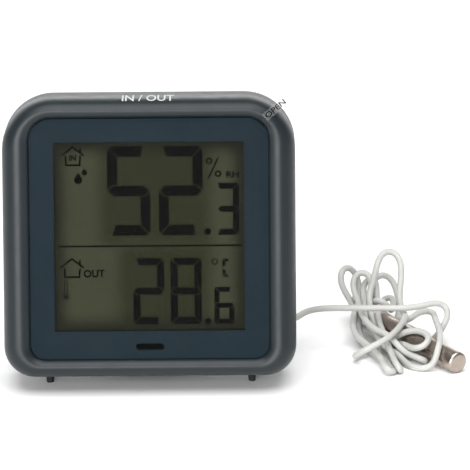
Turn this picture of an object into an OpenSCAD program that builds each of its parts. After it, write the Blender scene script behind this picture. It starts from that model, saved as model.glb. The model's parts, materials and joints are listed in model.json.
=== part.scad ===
// Indoor and outdoor max-min thermometer with hygrometer, cable probe and fold-out stand.
// Units are millimetres. The body is drawn upright in its own frame: X across, Y from the
// rim's front crest backwards, Z up from the lower edge. placed() then leans it back on its
// feet and stand, with the ground at Z = 0 and the origin under the middle of the footprint.

/* [Body] */
// Width of the body across its front
body_w = 80; // [76:0.5:110]
// Height of the body
body_h = 76.7; // [76:0.1:110]
// Depth from the rim's crest to the back plate
body_d = 23; // [22.8:0.1:32]
// Wall of both shells
wall = 2; // [1.6:0.1:2.4]
// Radius of the two upper corners
corner_top = 14; // [12:0.5:18]
// Radius of the two lower corners
corner_low = 8.5; // [8:0.5:14]
// Depth at which the two shells meet
split_y = 12; // [11:0.5:14]
// In-plane rounding of the rear edge
rear_round = 2.5; // [2.4:0.1:3]
// Angle that the body leans back on its stand
lean = 10; // [6:1:14]

/* [Rim and panel] */
// Width of the rim at the sides
rim_side = 7.4; // [6.5:0.1:9]
// Width of the rim at the top and bottom
rim_top = 5.2; // [5:0.1:8]
// Depth over which the rim's outer edge rounds
rim_round = 6; // [4:0.5:7]
// Where the crest lies across the rim, from 0 outside to 1 inside
crest_share = 0.62; // [0.5:0.01:0.7]
// How far the panel lies behind the crest
panel_drop = 1.5; // [1:0.1:2]
// Thickness of the front panel
panel_t = 1.5; // [1.5:0.1:2]
// Groove between rim and panel
panel_gap = 0.15; // [0.15:0.05:0.4]
// Radius of the panel pocket's upper corners
pocket_top = 6; // [4:0.2:8]
// Radius of the panel pocket's lower corners
pocket_low = 4; // [3:0.2:6]
// Width of the ledge that the panel seats on
ledge_w = 1.6; // [1.2:0.1:1.8]
// Thickness of that ledge
ledge_t = 1.6; // [1.2:0.1:2]

/* [Window and display] */
// Width of the display window
window_w = 51.9; // [42:0.1:56]
// Height of the display window
window_h = 52; // [44:0.1:55]
// Height of the window's centre above the body's centre
window_rise = 0.6; // [0:0.1:1]
// Length of the sensor slot
slot_w = 7.8; // [6:0.1:10]
// Height of the sensor slot
slot_h = 1.8; // [1.4:0.1:2]
// Height of the slot's centre above the panel's lower edge
slot_up = 3.3; // [2.4:0.1:3.4]
// Thickness of the clear lens
lens_t = 1; // [0.8:0.1:1.2]
// How far the lens reaches past the window
lens_lap = 1.5; // [1:0.1:2]
// Thickness of the protective film
film_t = 0.15; // [0.1:0.05:0.3]
// Width of the film's pull tab
tab_w = 5; // [3:0.5:6]
// Thickness of the display glass
lcd_t = 1.8; // [1.4:0.1:2]
// How far the display glass reaches past the window
lcd_lap = 2; // [1.6:0.1:2.2]
// Air gap between lens and display glass
lcd_gap = 0.4; // [0.3:0.1:0.6]
// Height of the conductive rubber strips
strip_h = 1.9; // [1.5:0.1:2.4]
// Thickness of the strips
strip_t = 1.6; // [1.2:0.1:1.8]
// Wall of the display frame
frame_wall = 1.2; // [1:0.1:1.3]
// Rounding of that frame's corners
frame_round = 2; // [1.5:0.1:2.4]

/* [Board] */
// Thickness of the circuit board
board_t = 1.2; // [0.8:0.1:1.6]
// Gap between the board's sides and the shell's wall
board_gap = 2; // [1.5:0.1:3]
// Radius of the board posts
post_r = 2; // [1.8:0.1:2.2]
// Radius of the board screws' thread
board_screw_r = 0.8; // [0.6:0.05:1]
// Radius of the case bosses
boss_r = 2.8; // [2.6:0.1:3]
// Radius of the case screws' thread
case_screw_r = 1.1; // [1:0.05:1.3]
// Clearance between pieces that are fixed together
seat_gap = 0.05; // [0.02:0.01:0.1]
// Clearance between pieces that move past each other
move_gap = 0.3; // [0.3:0.05:0.4]

/* [Batteries] */
// Diameter of one cell
cell_d = 10.5; // [10:0.1:10.5]
// Length of one cell with its button
cell_l = 44.5; // [40:0.1:44.5]
// Space at the spring end of a cell
spring_room = 4.5; // [4:0.1:5]
// Thickness of the contact plates
contact_t = 0.5; // [0.3:0.1:0.6]
// Height of the bay's centre above the lower edge
bay_z = 45; // [44.5:0.1:46]
// Wall of the bay
bay_wall = 1; // [0.8:0.1:1.2]
// Thickness of the cover
cover_t = 1.6; // [1.2:0.1:2]
// How far the cover reaches past the bay
cover_lap = 2; // [1.5:0.1:2.2]
// How far the cover is shown lifted at the end of its travel
cover_lift = 25; // [10:1:40]

/* [Stand and feet] */
// Width of the stand leg
leg_w = 26; // [20:0.5:30]
// Length of the stand leg from its pivot
leg_l = 20; // [18:0.5:20]
// Thickness of the stand leg
leg_t = 2.2; // [1.8:0.1:2.4]
// Height of the pivot above the lower edge
pivot_z = 6.5; // [6.2:0.1:7]
// Radius of the hinge pin
pin_r = 0.9; // [0.7:0.05:1]
// Distance of each foot from the middle
foot_x = 27.8; // [20:0.1:30]
// Depth of the feet behind the crest
foot_y = 15; // [14.5:0.1:16]
// Length of the feet below the body
foot_h = 2.9; // [2.7:0.1:3.5]
// Radius of a foot where it meets the body
foot_r = 1.25; // [1.1:0.05:1.5]

/* [Buttons and keyhole] */
// Radius of the rear buttons
button_r = 3; // [2.5:0.1:3.2]
// Travel of the rear buttons
button_travel = 0.5; // [0.3:0.05:0.6]
// How far the buttons stand proud of the back plate
button_proud = 0.6; // [0.6:0.1:1]
// Height of the buttons and the keyhole's entry above the cover's upper edge
button_up = 6; // [5.5:0.1:7]
// Radius of the keyhole's entry
key_r = 4; // [3.5:0.1:4.2]
// Width of the keyhole's slot
key_slot = 4.2; // [3.6:0.1:4.4]
// Height of the slot's round end above the entry's centre
key_rise = 6; // [5:0.1:6.5]

/* [Cable and probe] */
// Diameter of the probe cable
cord_d = 1.8; // [1.2:0.1:2]
// Diameter of the probe
probe_d = 6; // [4:0.1:6]
// Length of the probe's steel sleeve
probe_l = 38; // [25:1:50]
// Wall of the probe's sleeve
sleeve_wall = 0.3; // [0.2:0.05:0.4]
// Rounding of the probe's closed end
probe_round = 0.9; // [0.5:0.1:1.2]

/* [Hidden] */
$fn = 48;

// Depth stack, from the crest backwards
seat_y = panel_drop + panel_t;
ledge_y = seat_y + ledge_t;
lcd_y = seat_y + lcd_gap;
glass_t = lcd_t * 0.6;
board_y = lcd_y + glass_t + strip_h;
board_back = board_y + board_t;
plate_y = body_d - wall;
bay_floor = body_d - cover_t - move_gap - 0.3 - cell_d;
cover_y = body_d - cover_t;

// Panel pocket and window
pocket_w = body_w - 2 * rim_side;
window_z = body_h / 2 + window_rise;
slot_z = rim_top + panel_gap + slot_up;
lcd_w = window_w + 2 * lcd_lap;
lcd_h = window_h + 2 * lcd_lap;

// Screws: [x, z] of the case bosses and of the board posts
boss_in = wall + 4.6;
boss_at = [for (s = [-1, 1]) each [[s * (body_w / 2 - boss_in), wall + 5.5],
    [s * (body_w / 2 - boss_in - 0.4), body_h - 11.5]]];
board_w = body_w - 2 * wall - 2 * board_gap;
board_z0 = wall + 4.2;
board_z1 = body_h - wall - 4.2;
post_at = [for (s = [-1, 1], z = [20, body_h - 20]) [s * (board_w / 2 - post_r + 0.3), z]];
head_y = body_d - 4;
head_r = 2.1;
head_t = 1.5;

// Bay
bay_w = cell_l + spring_room + 2 * contact_t + 0.5;
bay_h = 2 * cell_d + 1.2;
cell_pitch = cell_d + 0.4;
cell_y = bay_floor + cell_d / 2;
cell_x0 = -bay_w / 2 + contact_t;
cover_w = bay_w + 2 * cover_lap;
cover_h = bay_h + 2 * cover_lap;
cover_r = 2;

// Buttons, as [x] of max-min, clear and unit
button_z = bay_z + cover_h / 2 + button_up;
button_x = [-26, -14, 20];
switch_w = 6;
switch_h = 3.5;
actuator_h = 0.5;
stem_end = board_back + switch_h + actuator_h + button_travel + 0.1;
flange_t = 1.2;

// Stand
pivot_y = body_d - 1.9;
barrel_r = 1.6;
recess_d = 3.9;
recess_w = leg_w + 1.2;
recess_z0 = pivot_z - barrel_r - 0.7;
recess_z1 = pivot_z + leg_l + 2.5;
recess_wall = 1.2;

// Lean: lift puts the feet's tips on the ground, and back_shift centres the footprint
lift = foot_y * sin(lean) + foot_h * cos(lean);
tip_r = leg_t / 2;
pivot_up = lift - pivot_y * sin(lean) + pivot_z * cos(lean);
leg_drop = asin((pivot_up - tip_r) / (leg_l - tip_r));
leg_open = 90 + leg_drop - lean;
crest_z = crest_share * rim_top;
front_most = rim_round * cos(lean) + crest_z * sin(lean)
    - sqrt(pow(rim_round * cos(lean), 2) + pow(crest_z * sin(lean), 2));
leg_reach = (leg_l - tip_r) * cos(leg_drop) + tip_r;
rear_most = pivot_y * cos(lean) + pivot_z * sin(lean) + leg_reach;
back_shift = -(front_most + rear_most) / 2;

// Gland on the back plate, and the cable's route from its tip to the hank, on the ground's frame
gland_x = body_w / 2 - 4;
gland_z = 12.3;
gland_out = 3.5;
cord_sides = 8;
cord_route = [[36, 7.7, 12.97], [36.2, 9.7, 12.6], [37.6, 11.6, 11.9], [39.6, 13.4, 11.3],
    [41.2, 16.2, 11.2], [42.6, 19.2, 11.1], [44.6, 22, 10.9], [47.6, 23.8, 10.7], [49.4, 24.3, 10.6],
    [51, 24.4, 10.6]];
hank_plan = [[51, 3], [56, -2], [76, -2], [81, 3], [81, 20], [83, 24], [83, 32], [73, 36],
    [72, 45], [51, 45]];
hank_side = [[-2, 0], [30, 0], [44, 14], [44, 22.5], [40, 22.5], [24, 12], [12, 9], [-2, 3]];

// Probe: its rounded tip's centre, and how it lies
probe_tip = [84.9, -2.2, 3.05];
probe_yaw = 34;
probe_pitch = 2.5;
boot_out = 6;
bead_r = 1.2;

// Extrudes a shape drawn in X and Z from depth y0 to depth y1
module slab(y0, y1) {
    translate([0, y1, 0]) rotate([90, 0, 0]) linear_extrude(y1 - y0) children();
}

// Cylinder along Y, from depth y0 to depth y1
module rod(x, z, y0, y1, r) {
    translate([x, y1, z]) rotate([90, 0, 0]) cylinder(h = y1 - y0, r = r);
}

// Rectangle from z0 to z1 with upper corners rt and lower corners rl
module rounded(w, z0, z1, rt, rl) {
    polygon([[-w / 2 + rl, z0], [w / 2 - rl, z0], [w / 2, z0 + rl], [w / 2, z1 - rt],
        [w / 2 - rt, z1], [-w / 2 + rt, z1], [-w / 2, z1 - rt], [-w / 2, z0 + rl]]);
    for (s = [-1, 1]) {
        translate([s * (w / 2 - rt), z1 - rt]) circle(rt);
        translate([s * (w / 2 - rl), z0 + rl]) circle(rl);
    }
}

// Rectangle centred on x = 0 and height zc
module block2(w, h, zc) {
    translate([-w / 2, zc - h / 2]) square([w, h]);
}

// Leans and lifts the upright body onto the ground
module placed() {
    translate([0, back_shift, lift]) rotate([-lean, 0, 0]) children();
}

// One quarter turn of a wall profile about a corner's centre; a profile point is [inset, depth]
module wall_corner(x, z, r, start, profile) {
    translate([x, 0, z]) rotate([90, 0, 0]) rotate([0, 0, start]) rotate_extrude(angle = 90)
        polygon([for (p = profile) [r - p[0], -p[1]]]);
}

// Wall profile carried round the body's outline
module wall_ring(profile) {
    xt = body_w / 2 - corner_top;
    xl = body_w / 2 - corner_low;
    zt = body_h - corner_top;
    wall_corner(xt, zt, corner_top, 0, profile);
    wall_corner(-xt, zt, corner_top, 90, profile);
    wall_corner(-xl, corner_low, corner_low, 180, profile);
    wall_corner(xl, corner_low, corner_low, 270, profile);
    for (s = [0, 1]) mirror([s, 0, 0]) translate([0, 0, corner_low]) linear_extrude(zt - corner_low)
        polygon([for (p = profile) [body_w / 2 - p[0], p[1]]]);
    translate([-xt, 0, 0]) rotate([90, 0, 90]) linear_extrude(2 * xt)
        polygon([for (p = profile) [p[1], body_h - p[0]]]);
    translate([-xl, 0, 0]) rotate([90, 0, 90]) linear_extrude(2 * xl)
        polygon([for (p = profile) [p[1], p[0]]]);
}

// Closed skin over rings of points: rings[i][j], joined round j, and round i when looped
module skin(rings, looped) {
    n = len(rings[0]);
    m = len(rings);
    last = looped ? m - 1 : m - 2;
    sides = [for (i = [0:last], j = [0:n - 1])
        let (a = i * n + j, b = i * n + (j + 1) % n, c = ((i + 1) % m) * n + j,
            d = ((i + 1) % m) * n + (j + 1) % n) each [[a, c, b], [b, c, d]]];
    caps = looped ? [] : [[for (j = [0:n - 1]) j], [for (j = [n - 1:-1:0]) (m - 1) * n + j]];
    polyhedron(points = [for (r = rings) each r], faces = concat(sides, caps), convexity = 8);
}

function unit(v) = v / norm(v);

// Ring of points round a route point, square to the route
function cord_ring(at, along, r, sides) =
    let (side = unit(cross(along, [0, 0, 1])), up = cross(side, along))
    [for (k = [0:sides - 1]) at + r * cos(360 * k / sides) * side + r * sin(360 * k / sides) * up];

// Tube swept along a route
module tube(route, r) {
    m = len(route);
    skin([for (i = [0:m - 1])
        cord_ring(route[i], unit(route[min(i + 1, m - 1)] - route[max(i - 1, 0)]), r, cord_sides)],
        false);
}

// ---------- front ----------

arc_steps = 12;

function arc(x, z, r, start) =
    [for (i = [0:arc_steps]) let (a = start + 90 * i / arc_steps) [x + r * cos(a), z + r * sin(a)]];

// Ring of points at one depth, round a rectangle with two corner radii
function rim_ring(w, z0, z1, rt, rl, y) =
    [for (p = concat(arc(w / 2 - rl, z0 + rl, rl, -90), arc(w / 2 - rt, z1 - rt, rt, 0),
        arc(-w / 2 + rt, z1 - rt, rt, 90), arc(-w / 2 + rl, z0 + rl, rl, 180))) [p[0], y, p[1]]];

// Ring at share f of the way from the outside to the panel's pocket
function rim_at(f, y) =
    rim_ring(body_w - 2 * f * rim_side, f * rim_top, body_h - f * rim_top,
        corner_top + f * (pocket_top - corner_top), corner_low + f * (pocket_low - corner_low), y);

// Rings inside the pocket's edge, and along the inner wall
function ledge_at(y) =
    rim_ring(pocket_w - 2 * ledge_w, rim_top + ledge_w, body_h - rim_top - ledge_w,
        pocket_top - ledge_w, pocket_low - ledge_w, y);
function inner_at(y) =
    rim_ring(body_w - 2 * wall, wall, body_h - wall, corner_top - wall, corner_low - wall, y);

rim_turns = 9;
slope_turns = 3;
rim_rings = concat([rim_at(0, split_y)],
    [for (i = [0:rim_turns]) let (a = 90 * i / rim_turns)
        rim_at(crest_share * (1 - cos(a)), rim_round * (1 - sin(a)))],
    [for (i = [1:slope_turns]) let (s = i / slope_turns)
        rim_at(crest_share + (1 - crest_share) * s, panel_drop * s * s)],
    [rim_at(1, seat_y), ledge_at(seat_y), ledge_at(ledge_y), inner_at(ledge_y), inner_at(split_y)]);

module front_shell() {
    color("#3a474d") placed() difference() {
        union() {
            skin(rim_rings, true);
            for (p = boss_at) rod(p[0], p[1], ledge_y - 0.6, split_y, boss_r);
            for (p = post_at) rod(p[0], p[1], ledge_y - 0.6, board_y, post_r);
        }
        for (p = boss_at) rod(p[0], p[1], ledge_y + 0.4, split_y + 1, case_screw_r + seat_gap);
        for (p = post_at) rod(p[0], p[1], ledge_y - 0.2, board_y + 1, board_screw_r + seat_gap);
    }
}

module front_panel() {
    color("#2c3840") placed() difference() {
        slab(panel_drop, seat_y) rounded(pocket_w - 2 * panel_gap, rim_top + panel_gap,
            body_h - rim_top - panel_gap, pocket_top - panel_gap, pocket_low - panel_gap);
        slab(panel_drop - 1, seat_y + 1) block2(window_w, window_h, window_z);
        slab(seat_y - lens_t - seat_gap, seat_y + 1)
            block2(window_w + 2 * lens_lap, window_h + 2 * lens_lap, window_z);
        slab(panel_drop - 1, seat_y + 1) {
            block2(slot_w - slot_h, slot_h, slot_z);
            for (s = [-1, 1]) translate([s * (slot_w - slot_h) / 2, slot_z]) circle(slot_h / 2);
        }
    }
}

module window_lens() {
    edge = 2 * lens_lap - 2 * seat_gap;
    color("#9fb0b4", 0.3) placed() slab(seat_y - lens_t, seat_y)
        block2(window_w + edge, window_h + edge, window_z);
}

// Film on the panel's face; its tab leaves the upper right corner at 45 degrees, over the rim
module screen_film() {
    film_w = pocket_w - 2 * panel_gap - 2;
    film_z1 = body_h - rim_top - panel_gap - 1;
    tab = [[-2, panel_drop], [0.3, panel_drop], [3.6, -0.2], [13.2, -0.9], [13.2, -0.9 - film_t],
        [3.5, -0.2 - film_t], [0.2, panel_drop - film_t], [-2, panel_drop - film_t]];
    color("#dfe6e8", 0.4) placed() {
        slab(panel_drop - film_t, panel_drop)
            rounded(film_w, rim_top + panel_gap + 1, film_z1, pocket_top - 1, pocket_low - 1);
        translate([film_w / 2 - 2.2, 0, film_z1 - 2.2]) rotate([0, -45, 0])
            translate([0, 0, -tab_w / 2]) linear_extrude(tab_w) polygon(tab);
    }
}

// ---------- display ----------

// Front glass, with a shorter rear glass that leaves the contact edge free for the strips
module lcd_glass() {
    rear_h = lcd_h - 2 * (strip_t + 0.4);
    color("#4a4d3c") placed() {
        slab(lcd_y, lcd_y + glass_t) block2(lcd_w, lcd_h, window_z);
        slab(lcd_y + glass_t, lcd_y + lcd_t) block2(lcd_w, rear_h, window_z);
    }
}

module lcd_frame() {
    inside = 2 * seat_gap;
    half_h = (lcd_h + inside) / 2 + frame_wall;
    color("#e6e6e0") placed() difference() {
        slab(seat_y, board_y) rounded(lcd_w + inside + 2 * frame_wall, window_z - half_h,
            window_z + half_h, frame_round, frame_round);
        slab(lcd_y - seat_gap, board_y + 1) block2(lcd_w + inside, lcd_h + inside, window_z);
        slab(seat_y - 1, lcd_y) block2(window_w + 1, window_h + 1, window_z);
    }
}

module rubber_strips() {
    reach = lcd_h / 2 - strip_t / 2 - 0.1;
    color("#d98f9a") placed() for (s = [-1, 1])
        slab(lcd_y + glass_t, board_y) block2(lcd_w - 4, strip_t, window_z + s * reach);
}

// ---------- board ----------

module main_board() {
    notch = boss_r + 0.4;
    color("#1f5a3a") placed() difference() {
        slab(board_y, board_back) block2(board_w, board_z1 - board_z0, (board_z0 + board_z1) / 2);
        for (p = boss_at) slab(board_y - 1, board_back + 1)
            translate([p[0] > 0 ? p[0] - notch : p[0] - notch - 10,
                p[1] < body_h / 2 ? p[1] - notch - 10 : p[1] - notch])
            square(2 * notch + 10);
        for (p = post_at) rod(p[0], p[1], board_y - 1, board_back + 1, board_screw_r + 0.2);
    }
}

// Low dome of resin over the display driver
module chip_blob() {
    color("#15171a") placed() translate([-6, board_back, 20]) rotate([-90, 0, 0])
        rotate_extrude() polygon([[0, 0], [5, 0], [4.8, 0.6], [3.8, 1.3], [2, 1.75], [0, 1.9]]);
}

module clock_crystal() {
    color("#c9ccce") placed() {
        translate([8, board_back + 1, 17]) cylinder(h = 6, r = 1);
        for (s = [-1, 1]) translate([8 + s * 0.35, board_back + 0.4, 15]) cylinder(h = 2.2, r = 0.15);
    }
}

module humidity_sensor() {
    color("#f0f0ee") placed() slab(board_y - 1.3, board_y)
        translate([-3.4, slot_z - 2]) square([4.2, 2.8]);
}

// Bead on two bent leads beside the humidity sensor
module room_thermistor() {
    color("#8a3b1e") placed() {
        translate([3, board_y - 2.2, slot_z]) sphere(r = 0.8);
        for (s = [-1, 1]) rod(3 + s * 0.35, slot_z, board_y - 2.2, board_y, 0.15);
    }
}

module push_switches() {
    color("#26282b") placed() for (x = button_x) {
        slab(board_back, board_back + switch_h)
            translate([x - switch_w / 2, button_z - switch_w / 2]) square(switch_w);
        rod(x, button_z, board_back + switch_h - 0.1, board_back + switch_h + actuator_h, 1.7);
    }
}

module board_screws() {
    color("#b9bcc0") placed() for (p = post_at) {
        rod(p[0], p[1], ledge_y, board_back, board_screw_r);
        rod(p[0], p[1], board_back, board_back + 1, 1.6);
    }
}

// ---------- rear ----------

lip_t = 1;
lip_gap = 0.1;
lip_h = 2;
rear_turns = 5;
rear_profile = concat([[0, split_y]],
    [for (i = [0:rear_turns]) let (a = 90 * i / rear_turns)
        [rear_round * (1 - cos(a)), body_d - (rear_round + 0.5) * (1 - sin(a))]],
    [[rear_round + 1, body_d], [rear_round + 1, plate_y], [wall, plate_y],
        [wall, split_y + 2.6], [wall + lip_gap + lip_t, split_y + 1.5],
        [wall + lip_gap + lip_t, split_y - lip_h], [wall + lip_gap, split_y - lip_h],
        [wall + lip_gap, split_y]]);

module keyhole() {
    rod(0, button_z, plate_y - 1, body_d + 1, key_r);
    rod(0, button_z + key_rise, plate_y - 1, body_d + 1, key_slot / 2);
    slab(plate_y - 1, body_d + 1) translate([-key_slot / 2, button_z]) square([key_slot, key_rise]);
}

module rear_shell() {
    edge = rear_round + 0.5;
    color("#39464c") placed() difference() {
        union() {
            wall_ring(rear_profile);
            slab(plate_y, body_d) rounded(body_w - 2 * edge, edge, body_h - edge,
                corner_top - edge, corner_low - edge);
            for (p = boss_at) rod(p[0], p[1], split_y, body_d - 1, boss_r + 0.2);
            slab(bay_floor - bay_wall, body_d - 1)
                block2(bay_w + 2 * bay_wall, bay_h + 2 * bay_wall, bay_z);
            slab(cover_y - 1.6, body_d - 1) block2(cover_w + 2, cover_h + 2, bay_z);
            slab(body_d - recess_d - recess_wall, body_d - 1)
                translate([-recess_w / 2 - 2.4, wall / 2])
                square([recess_w + 4.8, recess_z1 + recess_wall - wall / 2]);
        }
        slab(bay_floor, body_d + 1) block2(bay_w, bay_h, bay_z);
        slab(cover_y - move_gap, body_d + 1) rounded(cover_w + 2 * move_gap,
            bay_z - cover_h / 2 - move_gap, bay_z + cover_h / 2 + move_gap,
            cover_r + move_gap, cover_r + move_gap);
        slab(body_d - recess_d, body_d + 1)
            translate([-recess_w / 2, recess_z0]) square([recess_w, recess_z1 - recess_z0]);
        translate([-recess_w / 2 - 2, pivot_y, pivot_z]) rotate([0, 90, 0])
            cylinder(h = recess_w + 4, r = pin_r + 0.02);
        for (p = boss_at) {
            rod(p[0], p[1], split_y - 1, body_d + 1, case_screw_r + 0.2);
            rod(p[0], p[1], head_y, body_d + 1, head_r + 0.3);
        }
        for (x = button_x) rod(x, button_z, plate_y - 1, body_d + 1, button_r + move_gap);
        keyhole();
        rod(gland_x, gland_z, plate_y - 1, body_d + 1, 1.5 + seat_gap);
        for (s = [-1, 1]) translate([s * foot_x, foot_y, -1]) cylinder(h = wall + 2, r = 0.9 + seat_gap);
    }
}

module case_screws() {
    color("#8c9094") placed() for (p = boss_at) difference() {
        union() {
            rod(p[0], p[1], ledge_y + 0.8, head_y, case_screw_r);
            rod(p[0], p[1], head_y, head_y + head_t, head_r);
        }
        slab(head_y + head_t - 0.8, head_y + head_t + 1) translate(p) {
            square([2.6, 0.6], center = true);
            square([0.6, 2.6], center = true);
        }
    }
}

// Flush cover with grip grooves near its upper edge
module battery_cover() {
    color("#35424a") placed() difference() {
        slab(cover_y, body_d) rounded(cover_w, bay_z - cover_h / 2, bay_z + cover_h / 2, cover_r, cover_r);
        for (i = [-2:2]) slab(body_d - 0.5, body_d + 1) block2(9, 0.7, bay_z + cover_h / 2 - 5 + i * 1.4);
    }
}

// Cell along X, from its flat end, with the button at the other
module cell() {
    r = cell_d / 2;
    rotate([0, 90, 0]) rotate_extrude() polygon([[0, 0], [r - 0.4, 0], [r, 0.4],
        [r, cell_l - 1.4], [r - 0.6, cell_l - 0.9], [1.9, cell_l - 0.9], [1.9, cell_l], [0, cell_l]]);
}

module battery_upper() {
    color("#b98a3e") placed()
        translate([bay_w / 2 - contact_t - cell_l, cell_y, bay_z + cell_pitch / 2]) cell();
}

module battery_lower() {
    color("#b98a3e") placed() translate([cell_x0 + cell_l, cell_y, bay_z - cell_pitch / 2])
        mirror([1, 0, 0]) cell();
}

// A link plate at one end and two tabs at the other
module contact_plates() {
    tab = cell_d - 2;
    color("#d4d6d8") placed() for (side = [-1, 1], s = [-1, 1])
        translate([side > 0 ? bay_w / 2 - contact_t : -bay_w / 2, cell_y - tab / 2,
            bay_z + s * cell_pitch / 2 - tab / 2])
        cube([contact_t, tab, side < 0 && s < 0 ? tab + 3 : tab]);
}

// Conical coil along X, from the plate to the cell's flat end
module coil() {
    turns = 3;
    steps = 10;
    length = spring_room + 0.5 - 0.6;
    route = [for (i = [0:turns * steps]) let (t = i / (turns * steps), a = 360 * i / steps)
        [0.3 + length * t, (3.4 - 1.4 * t) * cos(a), (3.4 - 1.4 * t) * sin(a)]];
    m = len(route);
    skin([for (i = [0:m - 1]) let (along = unit(route[min(i + 1, m - 1)] - route[max(i - 1, 0)]),
        out = unit([0, route[i][1], route[i][2]]), side = unit(cross(along, out)), up = cross(side, along))
        [for (k = [0:5]) route[i] + 0.3 * cos(60 * k) * side + 0.3 * sin(60 * k) * up]], false);
}

module contact_springs() {
    color("#c3c6c9") placed() {
        translate([-bay_w / 2 + contact_t, cell_y, bay_z + cell_pitch / 2]) coil();
        translate([bay_w / 2 - contact_t, cell_y, bay_z - cell_pitch / 2]) mirror([1, 0, 0]) coil();
    }
}

// Button cap, retaining flange and stem
module rear_button(x) {
    color("#2b3338") placed() {
        rod(x, button_z, plate_y - move_gap - 0.1, body_d + button_proud, button_r);
        rod(x, button_z, plate_y - move_gap - flange_t, plate_y - move_gap, button_r + 0.8);
        rod(x, button_z, stem_end, plate_y - move_gap - flange_t + 0.1, 1.5);
    }
}

module max_min_button() rear_button(button_x[0]);
module clear_button() rear_button(button_x[1]);
module unit_button() rear_button(button_x[2]);

// ---------- stand and feet ----------

// Leg drawn folded, pointing up from its pivot, then turned open
module stand_leg() {
    color("#323e45") placed() translate([0, pivot_y, pivot_z]) rotate([-leg_open, 0, 0]) difference() {
        union() {
            translate([-leg_w / 2, 0, 0]) rotate([0, 90, 0]) cylinder(h = leg_w, r = barrel_r);
            translate([-leg_w / 2, -tip_r, 0]) cube([leg_w, leg_t, leg_l - tip_r]);
            translate([-leg_w / 2, 0, leg_l - tip_r]) rotate([0, 90, 0]) cylinder(h = leg_w, r = tip_r);
        }
        translate([-leg_w / 2 - 1, 0, 0]) rotate([0, 90, 0]) cylinder(h = leg_w + 2, r = pin_r + 0.05);
        translate([-leg_w / 2 + 4, tip_r - 0.6, 5]) cube([leg_w - 8, 2, leg_l - 9]);
    }
}

module stand_pin() {
    color("#a9adb1") placed() translate([-recess_w / 2 - 1.8, pivot_y, pivot_z]) rotate([0, 90, 0])
        cylinder(h = recess_w + 3.6, r = pin_r);
}

// Tapered pegs, cut off level with the ground, each with a plug through the shell's wall
module rubber_feet() {
    tip = foot_r - 0.35;
    color("#1d2226") difference() {
        placed() for (s = [-1, 1]) translate([s * foot_x, foot_y, 0]) {
            translate([0, 0, -foot_h - 0.6]) cylinder(h = foot_h + 0.6, r1 = tip, r2 = foot_r);
            cylinder(h = wall, r = 0.9);
        }
        translate([-body_w, -body_w, -20]) cube([2 * body_w, 2 * body_w, 20]);
    }
}

// ---------- cable and probe ----------

// Flanged rubber gland with a short tapered nose
module cable_gland() {
    color("#d9dada") placed() translate([gland_x, plate_y, gland_z]) rotate([-90, 0, 0])
        rotate_extrude() polygon([[0, -0.8], [2, -0.8], [2, 0], [1.5, 0], [1.5, wall], [2.1, wall],
            [2.1, wall + 0.8], [1.6, wall + 1], [1.05, wall + gland_out], [0, wall + gland_out]]);
}

module inner_lead() {
    x = gland_x;
    color("#e8e8e6") placed() tube([[x, plate_y - 0.8, gland_z], [x - 0.2, 18, gland_z + 0.4],
        [x - 1, 15.6, gland_z + 1.4], [x - 2.4, 13.4, gland_z + 2.8], [x - 4, 11.4, gland_z + 4],
        [x - 5.6, board_back + cord_d / 2, gland_z + 4.8], [x - 8, board_back + cord_d / 2, gland_z + 5.6]],
        cord_d / 2);
}

module probe_cable() {
    color("#e9e9e7") tube(cord_route, cord_d / 2);
}

// Outer shape of the tied hank: its plan, cut by its side view
module cable_bundle() {
    color("#e9e9e7") intersection() {
        linear_extrude(30) polygon(hank_plan);
        translate([45, 0, 0]) rotate([90, 0, 90]) linear_extrude(45) polygon(hank_side);
    }
}

// Turns a shape drawn along +Z from the tip into the probe's place
module on_probe() {
    translate(probe_tip) rotate([0, 0, probe_yaw]) rotate([probe_pitch, 0, 0]) rotate([-90, 0, 0])
        children();
}

module probe_sleeve() {
    r = probe_d / 2;
    b = probe_round;
    w = sleeve_wall;
    color("#b3aaa0") on_probe() rotate_extrude() polygon(concat([[0, 0]],
        [for (i = [0:6]) [r - b + b * sin(15 * i), b - b * cos(15 * i)]],
        [[r, probe_l], [r - w, probe_l], [r - w, b + w], [0, b + w]]));
}

module probe_potting() {
    r = probe_d / 2 - sleeve_wall - seat_gap;
    color("#3b3a38") on_probe() translate([0, 0, 9]) cylinder(h = probe_l - 12, r = r);
}

module probe_bead() {
    color("#8a3b1e") on_probe() {
        translate([0, 0, 4.5]) sphere(r = bead_r);
        for (s = [-1, 1]) translate([s * 0.4, 0, 4.5]) cylinder(h = 4.5, r = 0.2);
    }
}

module probe_boot() {
    r = probe_d / 2 - sleeve_wall - seat_gap;
    color("#d9dada") on_probe() translate([0, 0, probe_l - 3]) rotate_extrude()
        polygon([[0, 0], [r, 0], [r, 3], [2.3, 3.05], [2.3, 3.6], [1.1, 3 + boot_out], [0, 3 + boot_out]]);
}

front_shell();
front_panel();
window_lens();
screen_film();
lcd_glass();
lcd_frame();
rubber_strips();
main_board();
chip_blob();
clock_crystal();
humidity_sensor();
room_thermistor();
push_switches();
board_screws();
rear_shell();
case_screws();
battery_cover();
battery_upper();
battery_lower();
contact_plates();
contact_springs();
max_min_button();
clear_button();
unit_button();
stand_leg();
stand_pin();
rubber_feet();
cable_gland();
inner_lead();
probe_cable();
cable_bundle();
probe_sleeve();
probe_boot();
probe_potting();
probe_bead();
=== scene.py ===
import json
import math

import bmesh
import bpy
import numpy as np
from mathutils import Matrix, Vector
from mathutils.bvhtree import BVHTree


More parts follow.
